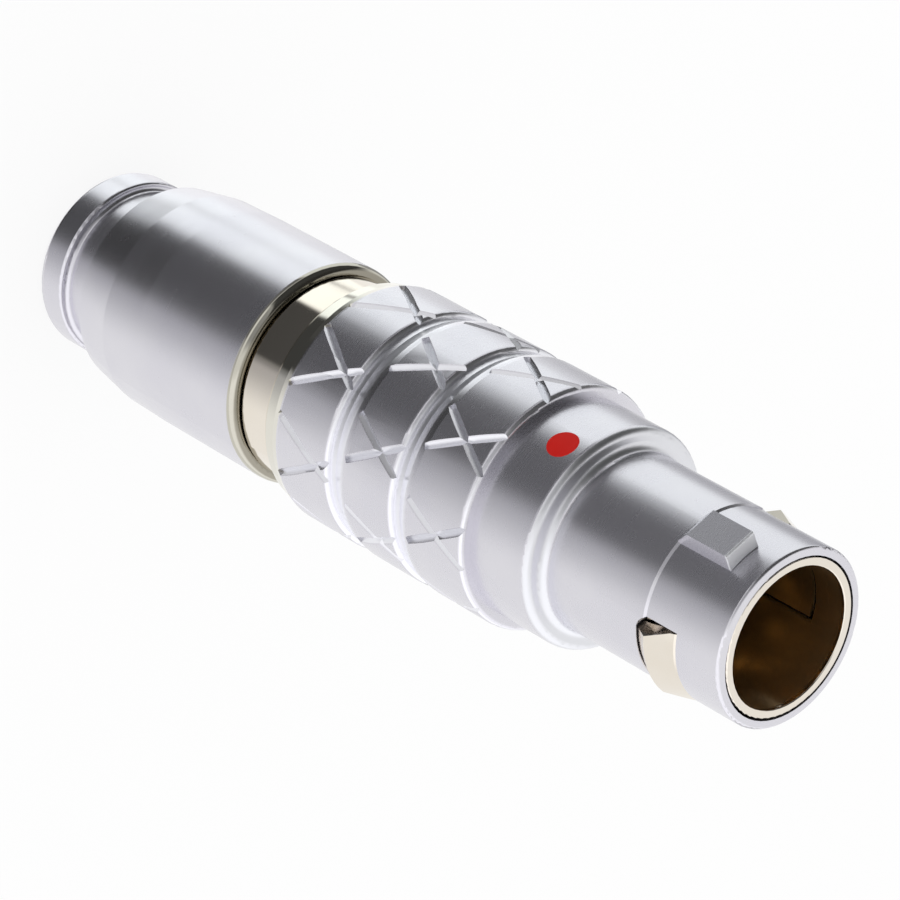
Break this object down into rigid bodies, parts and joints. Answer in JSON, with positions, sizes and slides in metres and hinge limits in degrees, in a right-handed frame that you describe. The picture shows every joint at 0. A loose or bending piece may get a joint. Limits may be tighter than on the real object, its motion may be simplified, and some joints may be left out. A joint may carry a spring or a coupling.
{
  "type": "push-pull circular connector",
  "caption": "Straight cable plug with a knurled push-pull release shell, keyed nose with two latch windows, and a collet nut that clamps the cable",
  "frame": {"origin": "On the plug's axis, in the plane of the collet nut's rear face, which is its lowest point when it stands with the mouth up", "axes": "+Z runs along the axis from the collet nut to the mouth; the key and the red dot face -Y; the two latch fingers face +X and -X"},
  "size_m": [0.0094, 0.0094, 0.0374],
  "materials": {
    "satin_chrome": "satin",
    "nickel": "polished",
    "red_paint": "gloss",
    "insulator_plastic": "matte",
    "contact_gold": "polished",
    "carrier_brass": "plain",
    "collet_brass": "plain"
  },
  "bodies": {
    "core": {"latch_sleeve": "nickel", "carrier_front_half": "carrier_brass", "carrier_back_half": "carrier_brass", "insulator": "insulator_plastic", "contact_1": "contact_gold", "contact_2": "contact_gold", "contact_3": "contact_gold", "contact_4": "contact_gold", "contact_5": "contact_gold", "contact_6": "contact_gold", "contact_7": "contact_gold", "contact_8": "contact_gold", "contact_9": "contact_gold"},
    "shell": {"outer_shell": "satin_chrome", "alignment_dot": "red_paint"},
    "finger_right": {"latch_finger_right": "nickel"},
    "finger_left": {"latch_finger_left": "nickel"},
    "collet": {"collet": "collet_brass"},
    "nut": {"collet_nut": "satin_chrome"}
  },
  "joints": [
    {"name": "shell_slide", "type": "slide", "parent": "core", "child": "shell", "axis": [0, 0, -1], "range_m": [0, 0.0009], "stiffness_N_per_m": 400, "springref_m": -0.0005},
    {"name": "finger_right_flex", "type": "hinge", "parent": "core", "child": "finger_right", "pos_m": [0.00284, 0, 0.0276], "axis": [0, -1, 0], "range_deg": [0, 3.2]},
    {"name": "finger_left_flex", "type": "hinge", "parent": "core", "child": "finger_left", "pos_m": [-0.00284, 0, 0.0276], "axis": [0, 1, 0], "range_deg": [0, 3.2]},
    {"name": "collet_slide", "type": "slide", "parent": "core", "child": "collet", "axis": [0, 0, -1], "range_m": [0, 0.003]},
    {"name": "nut_turn", "type": "hinge", "parent": "collet", "child": "nut", "pos_m": [0, 0, 0.006], "axis": [0, 0, -1], "range_deg": [0, 2160]}
  ],
  "couplings": [
    {"joint": "finger_right_flex", "follows": "shell_slide", "rad_per_m": 61},
    {"joint": "finger_left_flex", "follows": "shell_slide", "rad_per_m": 61},
    {"joint": "nut_turn", "follows": "collet_slide", "rad_per_m": 12566}
  ]
}
